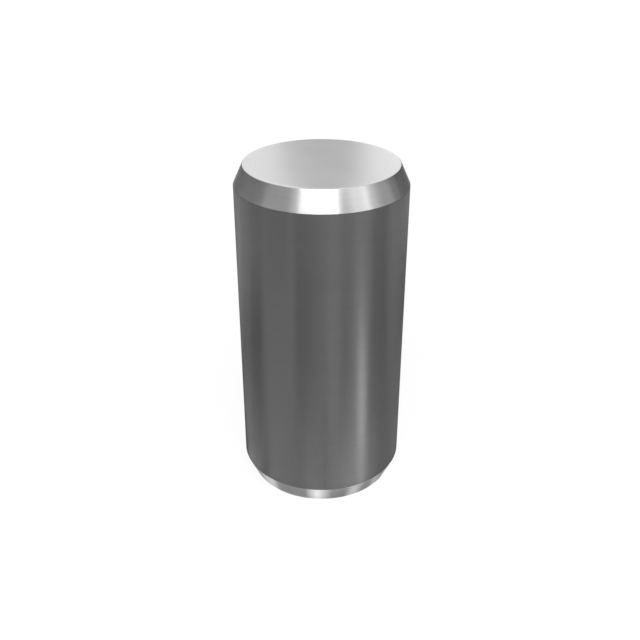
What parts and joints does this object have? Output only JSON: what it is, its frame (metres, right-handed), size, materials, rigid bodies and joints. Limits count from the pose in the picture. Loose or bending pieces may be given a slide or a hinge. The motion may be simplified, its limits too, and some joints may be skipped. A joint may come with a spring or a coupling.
{
  "type": "dowel pin",
  "caption": "Solid round steel pin with a ground shank and chamfered ends, pressed into reamed holes to line parts up or hold them together.",
  "frame": {"origin": "centre of the lower end face, which the pin stands on", "axes": "+Z along the pin's axis, up to the other end face; X and Y are any two directions across it, because the pin is round"},
  "size_m": [0.01, 0.01, 0.0204],
  "materials": {
    "ground_steel": "ground shank, turned chamfers and faced ends, bare metal"
  },
  "bodies": {
    "root": {"dowel_pin": "ground_steel"}
  },
  "joints": []
}
